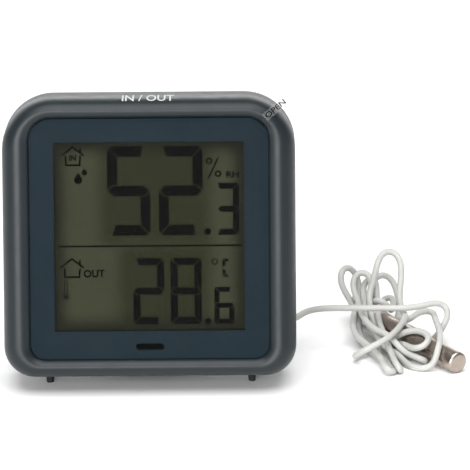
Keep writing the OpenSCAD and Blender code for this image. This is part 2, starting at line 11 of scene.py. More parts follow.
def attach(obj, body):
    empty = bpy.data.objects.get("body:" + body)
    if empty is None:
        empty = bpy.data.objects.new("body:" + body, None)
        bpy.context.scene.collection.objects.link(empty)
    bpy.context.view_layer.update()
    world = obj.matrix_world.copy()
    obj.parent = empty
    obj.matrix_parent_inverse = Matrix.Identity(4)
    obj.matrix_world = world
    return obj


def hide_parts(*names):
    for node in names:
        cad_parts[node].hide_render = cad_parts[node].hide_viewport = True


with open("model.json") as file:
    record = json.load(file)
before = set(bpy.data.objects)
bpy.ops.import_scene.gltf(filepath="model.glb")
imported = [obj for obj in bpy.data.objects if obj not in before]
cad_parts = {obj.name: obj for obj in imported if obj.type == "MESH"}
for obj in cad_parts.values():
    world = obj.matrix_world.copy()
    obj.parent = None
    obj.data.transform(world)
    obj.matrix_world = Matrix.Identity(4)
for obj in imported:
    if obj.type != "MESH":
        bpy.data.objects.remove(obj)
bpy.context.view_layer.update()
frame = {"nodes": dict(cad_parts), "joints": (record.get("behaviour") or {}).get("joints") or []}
scene = bpy.context.scene
mm = 0.001

# the body is drawn upright in millimetres: x across, y back from the rim's crest, z up from its lower edge;
# the stand's hinge ties that drawing to the frame
bodyPlan = {"lean": 10.0, "depth": 23.0, "hingeDepth": 21.1, "hingeHeight": 6.5,
            "displayDepth": 3.4, "windowMid": 38.95, "windowWidth": 51.9, "windowHeight": 52.0,
            "buttonHeight": 64.1}
hinge = next(joint for joint in frame["joints"] if joint["name"] == "stand_fold")
bodyTurn = Matrix.Rotation(math.radians(-bodyPlan["lean"]), 4, "X")
hingeDrawn = Vector((0, bodyPlan["hingeDepth"], bodyPlan["hingeHeight"])) * mm
bodyPlace = Matrix.Translation(Vector(hinge["pos_m"]) - bodyTurn @ hingeDrawn) @ bodyTurn
drawn = bodyPlace @ Matrix.Diagonal((mm, mm, mm, 1))


# ---- camera ----

cameraPlan = {"target": (0.0234, -0.001, 0.0403), "distance": 1.6, "elevation": 17.5, "roll": 0.45,
              "widthSeen": 0.129}
viewTilt = math.radians(cameraPlan["elevation"])
towardCamera = Vector((0, -math.cos(viewTilt), math.sin(viewTilt)))
sensorWidth = 36


def aimAlong(way):
    # a turn that points a camera or a lamp along a direction
    return way.to_track_quat("-Z", "Y").to_matrix().to_4x4()


def placeCamera(plan):
    lensData = bpy.data.cameras.new("studioCamera")
    lensData.sensor_width = sensorWidth
    lensData.lens = sensorWidth * plan["distance"] / plan["widthSeen"]
    lensData.clip_start, lensData.clip_end = 0.05, 20
    camera = bpy.data.objects.new("studioCamera", lensData)
    scene.collection.objects.link(camera)
    spot = Vector(plan["target"]) + towardCamera * plan["distance"]
    roll = Matrix.Rotation(math.radians(-plan["roll"]), 4, "Z")
    camera.matrix_world = Matrix.Translation(spot) @ aimAlong(-towardCamera) @ roll
    scene.camera = camera


placeCamera(cameraPlan)
print("camera placed")


# ---- finishes ----

def colourOf(red, green, blue):
    # a screen colour as linear light
    return tuple(((v / 255 + 0.055) / 1.055) ** 2.4 if v > 10 else v / 255 / 12.92 for v in (red, green, blue))


def addNode(tree, kind, inputs=None, **settings):
    node = tree.nodes.new(kind)
    for key, value in settings.items():
        setattr(node, key, value)
    for key, value in (inputs or {}).items():
        node.inputs[key].default_value = value
    return node


def mixColour(tree, factor, first, second, blend="MIX"):
    mix = addNode(tree, "ShaderNodeMix", data_type="RGBA", blend_type=blend)
    for socket, value in ((mix.inputs["Factor"], factor), (mix.inputs[6], first), (mix.inputs[7], second)):
        if isinstance(value, bpy.types.NodeSocket):
            tree.links.new(value, socket)
        else:
            socket.default_value = value if isinstance(value, (int, float)) else (*value, 1)
    return mix.outputs[2]


def spread(tree, source, low, high, fromLow=0.3, fromHigh=0.7):
    ranger = addNode(tree, "ShaderNodeMapRange",
                     {"From Min": fromLow, "From Max": fromHigh, "To Min": low, "To Max": high})
    tree.links.new(source, ranger.inputs["Value"])
    return ranger.outputs["Result"]


def coordinates(tree, turn=(0, 0, 0), place=(0, 0, 0), stretch=(1, 1, 1)):
    # object coordinates, turned and centred as a pattern needs them
    source = addNode(tree, "ShaderNodeTexCoord")
    mapping = addNode(tree, "ShaderNodeMapping", {"Location": place, "Rotation": turn, "Scale": stretch})
    tree.links.new(source.outputs["Object"], mapping.inputs["Vector"])
    return mapping.outputs["Vector"]


def noiseOf(tree, vector, scale, detail=3.0, rough=0.55):
    noise = addNode(tree, "ShaderNodeTexNoise", {"Scale": scale, "Detail": detail, "Roughness": rough})
    tree.links.new(vector, noise.inputs["Vector"])
    return noise.outputs["Fac"]


glossScale = 3.1  # the gloss varies over finer patches than the colour does


def finish(name, colour, shade, patch=90, rough=(0.4, 0.5), grain=1500, height=0.02, strength=0.5, stretch=(1, 1, 1),
           turn=(0, 0, 0), metal=0.0, specular=0.5, coat=0.0, alpha=1.0, subsurface=0.0):
    # patchy colour, uneven gloss and a fine relief, all from object coordinates
    material = bpy.data.materials.new(name)
    material.use_nodes = True
    tree = material.node_tree
    shader = tree.nodes["Principled BSDF"]
    vector = coordinates(tree, turn, stretch=stretch)
    patches = spread(tree, noiseOf(tree, vector, patch), 0, 1)
    tree.links.new(mixColour(tree, patches, colour, shade), shader.inputs["Base Color"])
    tree.links.new(spread(tree, noiseOf(tree, vector, patch * glossScale), *rough), shader.inputs["Roughness"])
    bump = addNode(tree, "ShaderNodeBump", {"Strength": strength, "Distance": height * mm})
    tree.links.new(noiseOf(tree, vector, grain, 2.0), bump.inputs["Height"])
    tree.links.new(bump.outputs["Normal"], shader.inputs["Normal"])
    shader.inputs["Metallic"].default_value = metal
    shader.inputs["Specular IOR Level"].default_value = specular
    shader.inputs["Coat Weight"].default_value = coat
    shader.inputs["Alpha"].default_value = alpha
    shader.inputs["Subsurface Weight"].default_value = subsurface
    if subsurface:
        shader.inputs["Subsurface Radius"].default_value = (0.0012, 0.0011, 0.001)
        shader.inputs["Subsurface Scale"].default_value = 1.0
    return material


def steelFinish(name, colour, shade, turn, stretch, rough=(0.22, 0.36), height=0.004):
    # brushed or plated metal, its grain drawn out along one axis by the stretch
    return finish(name, colour, shade, patch=350, rough=rough, grain=2600, height=height, turn=turn, stretch=stretch,
                  metal=1.0)


# painted shade on the display in millimetres: how far the painted shade of the window's recess reaches in from its
# edges, the soft rim of the painted shadow round the figures, and each digit row's painted shadow as middle x, z and
# half sizes x, z
paintedShadePlan = {"edge": 5.5, "halo": 6.0, "digitShadow": [(1.6, 11.5, 18.0, 17.0), (4.0, -14.0, 15.5, 14.5)]}
# the display's own tones, then the colours of its painted shadow round the figures and its painted shade at the edges
displayTonesAndShade = {"glass": (52, 54, 38), "patch": (48, 50, 35), "digitShadow": (33, 35, 19), "edge": (24, 26, 15)}


def boxShare(tree, axes, middle, halves, soft):
    # 1 inside a box of x and z, falling smoothly to 0 over its soft edge
    shares = []
    for socket, centre, half in zip(axes, middle, halves):
        offset = addNode(tree, "ShaderNodeMath", {1: centre * mm}, operation="SUBTRACT")
        size = addNode(tree, "ShaderNodeMath", operation="ABSOLUTE")
        tree.links.new(socket, offset.inputs[0])
        tree.links.new(offset.outputs[0], size.inputs[0])
        share = addNode(tree, "ShaderNodeMapRange", {"From Min": half * mm, "From Max": (half - soft) * mm,
                                                     "To Min": 0.0, "To Max": 1.0}, interpolation_type="SMOOTHSTEP")
        tree.links.new(size.outputs[0], share.inputs["Value"])
        shares.append(share.outputs["Result"])
    both = addNode(tree, "ShaderNodeMath", operation="MULTIPLY")
    tree.links.new(shares[0], both.inputs[0])
    tree.links.new(shares[1], both.inputs[1])
    return both.outputs[0]


def displayFinish(name):
    # olive glass with painted shade under the window's edges and a painted shadow round its figures
    material = finish(name, colourOf(*displayTonesAndShade["glass"]), colourOf(*displayTonesAndShade["patch"]), patch=60,
                      rough=(0.3, 0.38), height=0.004, specular=0.02)
    tree = material.node_tree
    shader = tree.nodes["Principled BSDF"]
    base = shader.inputs["Base Color"].links[0].from_socket
    middle = bodyPlace @ (Vector((0, bodyPlan["displayDepth"], bodyPlan["windowMid"])) * mm)
    unlean = Matrix.Rotation(math.radians(bodyPlan["lean"]), 3, "X")
    vector = coordinates(tree, (math.radians(bodyPlan["lean"]), 0, 0), tuple(-(unlean @ middle)))
    split = addNode(tree, "ShaderNodeSeparateXYZ")
    tree.links.new(vector, split.inputs[0])
    axes = (split.outputs["X"], split.outputs["Z"])
    # painted shadow of the figures, darkening the glass round each digit row
    for x, z, halfX, halfZ in paintedShadePlan["digitShadow"]:
        share = boxShare(tree, axes, (x, z), (halfX, halfZ), paintedShadePlan["halo"])
        base = mixColour(tree, share, base, colourOf(*displayTonesAndShade["digitShadow"]))
    # painted shade of the window's recess, darkening the glass towards its edges
    halves = (bodyPlan["windowWidth"] / 2, bodyPlan["windowHeight"] / 2)
    within = boxShare(tree, axes, (0, 0), halves, paintedShadePlan["edge"])
    tree.links.new(mixColour(tree, within, colourOf(*displayTonesAndShade["edge"]), base), shader.inputs["Base Color"])
    return material


def boardFinish(name):
    # green lacquer over copper tracks
    material = finish(name, (0.015, 0.085, 0.045), (0.02, 0.11, 0.055), patch=120, rough=(0.3, 0.4), specular=0.5)
    tree = material.node_tree
    shader = tree.nodes["Principled BSDF"]
    base = shader.inputs["Base Color"].links[0].from_socket
    tracks = addNode(tree, "ShaderNodeTexBrick", {"Scale": 260.0, "Mortar Size": 0.09, "Color1": (0, 0, 0, 1),
                                                  "Color2": (0, 0, 0, 1), "Mortar": (1, 1, 1, 1)})
    tree.links.new(coordinates(tree, (math.radians(100), 0, 0)), tracks.inputs["Vector"])
    tree.links.new(mixColour(tree, tracks.outputs["Color"], base, (0.05, 0.2, 0.09)), shader.inputs["Base Color"])
    return material


def bandedFinish(name, base, band, scale, share, rough, metal=0.0):
    # even bands across an object: a cell's printed wrap, or the layers of a conductive strip
    material = finish(name, base, tuple(v * 0.85 for v in base), patch=200, rough=rough, metal=metal, coat=0.3)
    tree = material.node_tree
    shader = tree.nodes["Principled BSDF"]
    first = shader.inputs["Base Color"].links[0].from_socket
    wave = addNode(tree, "ShaderNodeTexWave", {"Scale": scale, "Distortion": 0.0}, bands_direction="X")
    tree.links.new(coordinates(tree), wave.inputs["Vector"])
    bandShare = spread(tree, wave.outputs["Fac"], 0, 1, share, share + 0.05)
    tree.links.new(mixColour(tree, bandShare, first, band), shader.inputs["Base Color"])
    return material


def clearFinish(name, tint, alpha, rough, wrinkle, specular=0.5):
    # a thin clear sheet: mostly open, with its own gloss and faint ripples
    return finish(name, tint, tuple(v * 0.9 for v in tint), patch=70, rough=rough, grain=160, height=wrinkle,
                  alpha=alpha, specular=specular)


finishes = {
    "rimPlastic": finish("rimPlastic", (0.006, 0.0105, 0.0135), (0.0075, 0.0125, 0.0155), rough=(0.37, 0.44),
                         grain=2600, height=0.012, strength=0.4, specular=0.38),
    "panelPlastic": finish("panelPlastic", (0.0065, 0.0135, 0.0190), (0.008, 0.0155, 0.0215), rough=(0.42, 0.5),
                           grain=2600, height=0.012, strength=0.4, specular=0.04),
    "backPlastic": finish("backPlastic", (0.016, 0.024, 0.029), (0.019, 0.028, 0.033), rough=(0.45, 0.55), grain=1800,
                          height=0.03, specular=0.4),
    "coverPlastic": finish("coverPlastic", (0.014, 0.022, 0.026), (0.017, 0.026, 0.03), rough=(0.45, 0.55), grain=1800,
                           height=0.03, specular=0.4),
    "lensClear": clearFinish("lensClear", (0.006, 0.007, 0.006), 0.03, (0.06, 0.1), 0.004, specular=0.1),
    "filmClear": clearFinish("filmClear", (0.01, 0.012, 0.013), 0.025, (0.12, 0.25), 0.01, specular=0.15),
    "displayGlass": displayFinish("displayGlass"),
    "segmentInk": finish("segmentInk", (0.0016, 0.0014, 0.0011), (0.0011, 0.0010, 0.0008), rough=(0.35, 0.45),
                         height=0.003, specular=0.0),
    "whitePlastic": finish("whitePlastic", (0.72, 0.72, 0.69), (0.67, 0.67, 0.63), rough=(0.45, 0.55)),
    "layeredRubber": bandedFinish("layeredRubber", (0.55, 0.25, 0.3), (0.02, 0.02, 0.02), 2200, 0.5, rough=(0.7, 0.8)),
    "boardGreen": boardFinish("boardGreen"),
    "chipResin": finish("chipResin", (0.008, 0.009, 0.01), (0.012, 0.012, 0.014), rough=(0.15, 0.35), grain=600,
                        height=0.08),
    "platedMetal": steelFinish("platedMetal", (0.62, 0.62, 0.6), (0.55, 0.54, 0.52), (0, 0, 0), (1, 1, 1), (0.25, 0.4)),
    "sensorWhite": finish("sensorWhite", (0.78, 0.78, 0.75), (0.7, 0.7, 0.68), rough=(0.5, 0.6)),
    "beadEpoxy": finish("beadEpoxy", (0.22, 0.04, 0.012), (0.16, 0.03, 0.01), rough=(0.2, 0.35)),
    "switchBlack": finish("switchBlack", (0.014, 0.015, 0.016), (0.02, 0.02, 0.022), rough=(0.4, 0.5)),
    "gauzeBlack": finish("gauzeBlack", (0.0012, 0.0014, 0.0014), (0.002, 0.0022, 0.0022), rough=(0.7, 0.8),
                         specular=0.05),
    "cellWrap": bandedFinish("cellWrap", (0.012, 0.012, 0.014), (0.55, 0.26, 0.07), 7.2, 0.78, rough=(0.2, 0.3),
                             metal=0.3),
    "buttonRubber": finish("buttonRubber", (0.02, 0.028, 0.032), (0.027, 0.035, 0.04), rough=(0.6, 0.7), grain=2400,
                           height=0.02, specular=0.3),
    "footRubber": finish("footRubber", (0.012, 0.015, 0.018), (0.02, 0.024, 0.028), rough=(0.65, 0.75), grain=3000,
                         height=0.05, specular=0.3),
    "pinSteel": steelFinish("pinSteel", (0.55, 0.56, 0.57), (0.48, 0.48, 0.48), (0, 0, 0), (0.05, 1, 1)),
    "cordPvc": finish("cordPvc", (0.47, 0.47, 0.45), (0.42, 0.42, 0.40), patch=160, rough=(0.36, 0.5), grain=1400,
                      height=0.03, specular=0.4, subsurface=0.15),
    "glandRubber": finish("glandRubber", (0.46, 0.46, 0.44), (0.41, 0.41, 0.39), rough=(0.55, 0.65), grain=1600,
                          height=0.03),
    "probeSteel": steelFinish("probeSteel", (0.46, 0.395, 0.345), (0.38, 0.32, 0.28), (0, 0, math.radians(-34)),
                              (1, 0.04, 1), (0.24, 0.38)),
    "pottingResin": finish("pottingResin", (0.03, 0.03, 0.028), (0.04, 0.04, 0.038), rough=(0.3, 0.5)),
    "paleInk": finish("paleInk", (0.55, 0.57, 0.57), (0.5, 0.52, 0.52), rough=(0.5, 0.6), height=0.002, specular=0.2),
    "tabHaze": clearFinish("tabHaze", (0.5, 0.52, 0.53), 0.1, (0.35, 0.5), 0.02),
    "tabInk": finish("tabInk", (0.003, 0.003, 0.003), (0.005, 0.005, 0.005), rough=(0.5, 0.6), height=0.002,
                     specular=0.05),
}

nodeFinishes = {
    "front_shell": "rimPlastic", "front_panel": "panelPlastic", "window_lens": "lensClear", "screen_film": "filmClear",
    "lcd_glass": "displayGlass", "lcd_frame": "whitePlastic", "rubber_strips": "layeredRubber", "main_board": "boardGreen",
    "chip_blob": "chipResin", "clock_crystal": "platedMetal", "humidity_sensor": "sensorWhite",
    "room_thermistor": "beadEpoxy", "push_switches": "switchBlack", "board_screws": "platedMetal",
    "rear_shell": "backPlastic", "case_screws": "platedMetal", "battery_cover": "coverPlastic", "battery_upper": "cellWrap",
    "battery_lower": "cellWrap", "contact_plates": "platedMetal", "contact_springs": "platedMetal",
    "max_min_button": "buttonRubber", "clear_button": "buttonRubber", "unit_button": "buttonRubber",
    "stand_leg": "coverPlastic", "stand_pin": "pinSteel", "rubber_feet": "footRubber", "cable_gland": "glandRubber",
    "inner_lead": "cordPvc", "probe_cable": "cordPvc", "cable_bundle": "cordPvc", "probe_sleeve": "probeSteel",
    "probe_boot": "glandRubber", "probe_potting": "pottingResin", "probe_bead": "beadEpoxy",
}
for nodeName, finishName in nodeFinishes.items():
    nodeObject = frame["nodes"][nodeName]
    nodeObject.data.materials.clear()
    nodeObject.data.materials.append(finishes[finishName])
print("finishes on", len(nodeFinishes), "nodes")


# ---- making pieces ----

def makePiece(name, shape, finishName, body, place=None, smooth=None):
    # a finished piece from a bmesh, its place in its mesh
    if place is not None:
        bmesh.ops.transform(shape, matrix=place, verts=shape.verts)
    bmesh.ops.recalc_face_normals(shape, faces=shape.faces)
    data = bpy.data.meshes.new(name)
    shape.to_mesh(data)
    shape.free()
    piece = bpy.data.objects.new(name, data)
    scene.collection.objects.link(piece)
    data.materials.append(finishes[finishName])
    if smooth is not None:
        data.shade_smooth()
        data.set_sharp_from_angle(angle=math.radians(smooth))
    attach(piece, body)
    return piece


copyPlan = {"weld": 0.003, "flat": 0.4, "bevelFrom": 38}


def finishedCopy(nodeName, name, body, smooth, edge):
    # the node's own shape with its seams merged, its curves shaded smooth and its edges eased
    shape = bmesh.new()
    shape.from_mesh(frame["nodes"][nodeName].data)
    bmesh.ops.remove_doubles(shape, verts=shape.verts, dist=copyPlan["weld"] * mm)
    bmesh.ops.dissolve_limit(shape, angle_limit=math.radians(copyPlan["flat"]), verts=shape.verts, edges=shape.edges)
    piece = makePiece(name, shape, nodeFinishes[nodeName], body, smooth=smooth)
    if edge:
        ease = piece.modifiers.new("easedEdges", "BEVEL")
        ease.width = edge * mm
        ease.segments = 2
        ease.limit_method = "ANGLE"
        ease.angle_limit = math.radians(copyPlan["bevelFrom"])
        ease.harden_normals = True
    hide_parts(nodeName)
    return piece


# each copied node: the piece's name, its body, its slot, the angle it is smooth under and its edges' width
copies = {
    "front_shell": ("rimShell", "body", "rim_shell", 30, 0.0),
    "rear_shell": ("backShell", "body", "rim_shell", 30, 0.12),
    "battery_cover": ("bayCover", "cover", "cover_plastic", 28, 0.2),
    "stand_leg": ("standLeg", "stand", "cover_plastic", 30, 0.15),
    "max_min_button": ("maxMinKey", "max_min_key", "button_rubber", 30, 0.15),
    "clear_button": ("clearKey", "clear_key", "button_rubber", 30, 0.15),
    "unit_button": ("unitKey", "unit_key", "button_rubber", 30, 0.15),
    "rubber_feet": ("rubberFeet", "body", "foot_rubber", 35, 0.0),
    "cable_gland": ("cordGland", "body", "gland_rubber", 35, 0.0),
    "probe_sleeve": ("probeTube", "body", "probe_steel", 30, 0.0),
    "probe_boot": ("probeBoot", "body", "gland_rubber", 35, 0.0),
    "case_screws": ("caseScrews", "body", "plated_metal", 30, 0.0),
    "screen_film": ("frontFilm", "body", "film", 30, 0.0),
    "battery_upper": ("upperCell", "body", "cell_wrap", 30, 0.0),
    "battery_lower": ("lowerCell", "body", "cell_wrap", 30, 0.0),
}
shown = {}
for nodeName, (name, body, slotName, smooth, edge) in copies.items():
    shown[nodeName] = finishedCopy(nodeName, name, body, smooth, edge)
# the film stands a little off the panel, so that the two surfaces never coincide
filmLift = 0.03
shown["screen_film"].data.transform(Matrix.Translation(bodyTurn.to_3x3() @ Vector((0, -filmLift * mm, 0))))
print("finished copies:", len(shown))


# ---- cord and hank ----

# the route from the gland to the hank, as the part's source gives it, in metres
glandRoute = [(0.036, 0.0077, 0.01297), (0.0362, 0.0097, 0.0126), (0.0376, 0.0116, 0.0119), (0.0396, 0.0134, 0.0113),
              (0.0412, 0.0162, 0.0112), (0.0426, 0.0192, 0.0111), (0.0446, 0.022, 0.0109), (0.0476, 0.0238, 0.0107),
              (0.0494, 0.0243, 0.0106), (0.051, 0.0244, 0.0106)]

# the hank's folds in the order that the cord takes them, in millimetres
hankFolds = {
    "topStrand": [(59, 23.5, 10.8), (62.5, 23, 11), (66.5, 22.5, 11.1), (70.5, 22.5, 11.1), (74, 23.5, 11),
                  (77.5, 24.5, 11), (80, 25, 10.9), (81.5, 26, 10.8), (82.5, 26.5, 10.4), (82.5, 25.5, 9.4),
                  (81.5, 23.5, 8), (81, 21, 6.4), (80, 19, 4.8), (79.5, 20, 3.2), (78, 23.5, 1.8), (76, 29, 1),
                  (72.5, 35.5, 1), (68.5, 41, 1.3), (66, 44, 2)],
    "backLoop": [(65, 43.5, 3.6), (63.5, 44, 6), (62.5, 44.5, 9.5), (63.5, 47, 12), (65, 47, 13), (67, 47, 12.2),
                 (68, 47.5, 10), (69, 46, 7.6), (69.5, 41, 6)],
    "rightLoop": [(70, 31, 5.2), (71.5, 28, 5.5), (74.5, 32, 6.3), (76.5, 33, 6.8), (78.5, 29, 6.9), (80, 19, 7.1),
                  (80, 9, 7.4), (80, 3.5, 6.9), (79.5, 1, 5.6), (79, 0.5, 3.8), (77.5, 1.5, 1.6), (76, 0, 0.95),
                  (73, 0.5, 0.95), (70, 5.5, 1.4), (66.5, 10, 3), (63.5, 17.5, 4.3), (61.5, 24, 5.5), (60.5, 29.5, 6.8)],
    "middleLoop": [(60.5, 33.5, 9), (61.5, 38.5, 11.5), (61.5, 40.5, 14), (60.5, 41, 15.5), (58.5, 41.5, 15.5),
                   (57.5, 40, 14.5), (57, 39.5, 11.8), (58, 35.5, 9)],
    "lowRun": [(59, 24.5, 8.2), (61.5, 18, 7), (64.5, 13, 6), (67.5, 10, 4.6), (71, 8, 3.2), (74, 5.5, 2.2), (76, 4, 1.6),
               (76, 5, 0.8), (73, 8, 0.8), (70, 13, 1), (66.5, 19, 1.8), (64, 23.5, 2.8), (61.5, 29, 3.8), (59, 35.5, 4.6)],
    "leftLoop": [(57, 38, 7), (55, 38, 10), (53.5, 39, 12.5), (53, 39.5, 15), (53.5, 41, 16.3), (55, 42, 16.5),
                 (56.5, 44, 15.3), (58, 44.5, 12.8), (58.5, 42.5, 10), (58.5, 37, 8.6)],
    "leftRun": [(57, 29.5, 8), (56.5, 26, 6.8), (56, 22.5, 5.2), (57.5, 18, 4.2), (60, 13, 3.3), (63.5, 5.5, 2.4),
                (65.5, -3, 1.9), (66.5, -4.5, 1.2), (65.5, 2.5, 0.8), (62.5, 10.5, 1), (60, 17, 1.8), (58.5, 22, 3),
                (58, 27, 4.4), (59, 32, 6)],
    "innerLoop": [(60.5, 37, 8), (60, 41.5, 10.6), (60.5, 43, 12.6), (61.5, 43, 13.6), (62.5, 42.5, 12.8),
                  (62.5, 39.5, 10.6), (62.5, 35.5, 8.4)],
    "frontRun": [(63.5, 30, 6.6), (64, 23.5, 5.4), (65, 16, 4.2), (66.5, 7.5, 3), (68, -1.5, 2.1), (68.5, -3.5, 1.3),
                 (67.5, 6, 0.8), (66, 15, 1.6), (64.5, 21, 3), (63.5, 26, 4.6), (62.5, 31, 6.4)],
    "tallLoop": [(61.5, 33.5, 8.4), (61.5, 34.5, 10.5), (62, 35, 14), (64, 37, 18.8), (65.2, 39, 21.5), (66.8, 40, 22.4),
                 (68.4, 39, 21.5), (69.8, 37, 18.6), (70, 35, 14.4), (69.4, 32, 10.8), (70, 27.5, 9.4)],
    "wrapRun": [(71, 23, 8.8), (69.5, 16, 8.4), (66.5, 8.5, 7.6), (61.5, 4.5, 6), (58.5, 5, 4), (56.5, 7.5, 2.6),
                (56.5, 9.5, 1), (59, 10.5, 1), (62, 12.5, 1.8), (65, 14, 3.2), (67.5, 15, 5), (70.5, 13, 7), (73, 13, 7.8),
                (75, 11.5, 7.6), (76, 9, 7.2), (76.5, 6, 6.6), (75.5, 4, 5.9), (72.5, 5.5, 4.8), (69.5, 12, 3.8),
                (66.5, 23.5, 2.8), (64.5, 33, 3)],
    "smallLoop": [(64.5, 41.5, 4.6), (65, 44, 6.6), (66, 44, 7.8), (67.5, 43.5, 7), (67.5, 38.5, 6), (66, 32, 7),
                  (63.5, 30.5, 8), (61.5, 34, 8)],
    "tail": [(59, 42.5, 7), (58, 48, 6.4), (57, 47.5, 5.6), (57, 43, 5.2), (57.5, 40.5, 5.1)],
}
cordPlan = {"diameter": 1.8, "step": 1.3, "turns": 500, "pull": 0.06, "leastPull": 0.004, "floorGap": 0.02,
            "spacing": 1.03, "probeGap": 0.05, "fixedStart": 9, "fixedEnd": 3, "neighbours": 3, "straighten": 0.35,
            "flatten": 0.02, "part": 0.5, "sweeps": 3}
probePlan = {"tip": (84.9, -2.2, 3.05), "yaw": 34.0, "pitch": 2.5, "length": 38.0, "radius": 3.0, "bootLength": 6.0}
endSteps = (4.0, 1.5, 0.0, -2.0)  # millimetres out of the boot's end, where the cord runs along the probe's axis
tiny = 1e-9
yaw, pitch = math.radians(probePlan["yaw"]), math.radians(probePlan["pitch"])
probeAxis = Vector((-math.sin(yaw) * math.cos(pitch), math.cos(yaw) * math.cos(pitch), math.sin(pitch)))


def smoothPath(points, step):
    # even steps along a Catmull-Rom line through the points
    p = np.array(points, float)
    p = np.vstack([2 * p[0] - p[1], p, 2 * p[-1] - p[-2]])
    dense = []
    for i in range(1, len(p) - 2):
        t = np.linspace(0, 1, 20, endpoint=False)[:, None]
        a, b, c, d = p[i - 1], p[i], p[i + 1], p[i + 2]
        dense.append(0.5 * (2 * b + (c - a) * t + (2 * a - 5 * b + 4 * c - d) * t ** 2
                            + (3 * b - a - 3 * c + d) * t ** 3))
    dense = np.vstack(dense + [p[-2][None]])
    along = np.concatenate([[0], np.cumsum(np.linalg.norm(np.diff(dense, axis=0), axis=1))])
    want = np.linspace(0, along[-1], int(round(along[-1] / step)) + 1)
    return np.stack([np.interp(want, along, dense[:, k]) for k in range(3)], axis=1)


def settleCord(path, plan, probe):
    # the strands are eased apart and off the probe, and kept out of the floor; small overlaps stay where it's crowded
    x, home = path.copy(), path.copy()
    n, spacing = len(x), plan["diameter"] * plan["spacing"]
    rest = np.linalg.norm(np.diff(x, axis=0), axis=1)
    axis, tip = np.array(probeAxis), np.array(probe["tip"])
    full = probe["length"] + probe["bootLength"]
    clear = probe["radius"] + plan["diameter"] / 2 + plan["probeGap"]
    free = np.ones(n, bool)
    free[:plan["fixedStart"]] = free[-plan["fixedEnd"]:] = False
    index = np.arange(n)
    apart = np.abs(index[:, None] - index[None, :]) > plan["neighbours"]
    for turn in range(plan["turns"]):
        left = 1 - turn / plan["turns"]
        move = (plan["pull"] * left ** 2 + plan["leastPull"]) * (home - x)
        bend = np.zeros_like(x)
        bend[1:-1] = 0.5 * (x[:-2] + x[2:]) - x[1:-1]
        soft = bend.copy()
        soft[1:-1] = bend[1:-1] - 0.5 * (bend[:-2] + bend[2:])
        move += plan["straighten"] * soft + plan["flatten"] * bend
        gap = x[:, None, :] - x[None, :, :]
        dist = np.sqrt((gap ** 2).sum(2)) + tiny
        near = apart & (dist < spacing)
        push = np.where(near, (spacing - dist) / dist, 0)[:, :, None] * gap
        move += plan["part"] * push.sum(1) / np.sqrt(np.maximum(near.sum(1), 1))[:, None]
        x[free] += move[free]
        rel = x - tip
        t = rel @ axis
        radial = rel - t[:, None] * axis
        r = np.linalg.norm(radial, axis=1) + tiny
        inside = free & (t > -1.0) & (t < full - 1.0) & (r < clear)
        x[inside] += (radial[inside] / r[inside][:, None]) * (clear - r[inside])[:, None]
        x[free, 2] = np.maximum(x[free, 2], plan["diameter"] / 2 + plan["floorGap"])
        for sweep in range(plan["sweeps"]):  # each step keeps its length
            d = np.diff(x, axis=0)
            length = np.linalg.norm(d, axis=1) + tiny
            fix = (0.5 * (length - rest) / length)[:, None] * d
            x[:-1][free[:-1]] += fix[free[:-1]]
            x[1:][free[1:]] -= fix[free[1:]]
    return x


bootEnd = Vector(probePlan["tip"]) + probeAxis * (probePlan["length"] + probePlan["bootLength"])
routeDrawn = [tuple(v / mm for v in point) for point in glandRoute]
for fold in hankFolds.values():
    routeDrawn += fold
routeDrawn += [tuple(bootEnd + probeAxis * out) for out in endSteps]
cordPath = settleCord(smoothPath(routeDrawn, cordPlan["step"]), cordPlan, probePlan)


def buildCord(name, path, diameter):
    data = bpy.data.curves.new(name, "CURVE")
    data.dimensions = "3D"
    data.bevel_depth = diameter / 2
    data.bevel_resolution = 4
    data.use_fill_caps = True
    spline = data.splines.new("NURBS")
    spline.points.add(len(path) - 1)
    for point, at in zip(spline.points, path):
        point.co = (at[0] * mm, at[1] * mm, at[2] * mm, 1)
    spline.order_u = 4
    spline.use_endpoint_u = True
    spline.resolution_u = 2
    piece = bpy.data.objects.new(name, data)
    scene.collection.objects.link(piece)
    data.materials.append(finishes["cordPvc"])
    return piece


probeCord = buildCord("probeCord", cordPath, cordPlan["diameter"] * mm)
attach(probeCord, "body")
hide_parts("probe_cable", "cable_bundle")
print("cord built")


# ---- words and figures on the display ----

def thicken(shape, faces, depth):
    # flat faces gain a thickness along y
    made = bmesh.ops.extrude_face_region(shape, geom=faces)
    bmesh.ops.translate(shape, vec=(0, depth, 0), verts=[v for v in made["geom"] if isinstance(v, bmesh.types.BMVert)])


def plate(shape, outline, front, back):
    # a thin plate from an outline of x and z, facing the viewer
    corners = [shape.verts.new((x, front, z)) for x, z in outline]
    thicken(shape, [shape.faces.new(corners)], back - front)


strokeOverlap = 0.6


def stroke(shape, points, width, front, back):
    # a line drawn with a pen of that width
    for (x0, z0), (x1, z1) in zip(points, points[1:]):
        length = math.hypot(x1 - x0, z1 - z0)
        place = (Matrix.Translation(((x0 + x1) / 2, (front + back) / 2, (z0 + z1) / 2))
                 @ Matrix.Rotation(-math.atan2(z1 - z0, x1 - x0), 4, "Y")
                 @ Matrix.Diagonal((length + width * strokeOverlap, back - front, width, 1)))
        bmesh.ops.create_cube(shape, size=1, matrix=place)


def addTo(shape, part):
    # a small part made on its own joins a larger mesh
    mesh = bpy.data.meshes.new("part")
    part.to_mesh(mesh)
    part.free()
    shape.from_mesh(mesh)
    bpy.data.meshes.remove(mesh)


discSides = 28


def disc(shape, x, z, radius, front, back, hole=0.0):
    # a dot, or a ring where it has a hole
    part = bmesh.new()
    edge = part.edges.new((part.verts.new((x + hole, front, z)), part.verts.new((x + radius, front, z))))
    bmesh.ops.spin(part, geom=[edge, *edge.verts], cent=(x, front, z), axis=(0, 1, 0), angle=math.tau,
                   steps=discSides, use_merge=True)
    bmesh.ops.remove_doubles(part, verts=part.verts, dist=1e-4)
    thicken(part, part.faces[:], back - front)
    bmesh.ops.recalc_face_normals(part, faces=part.faces)
    addTo(shape, part)


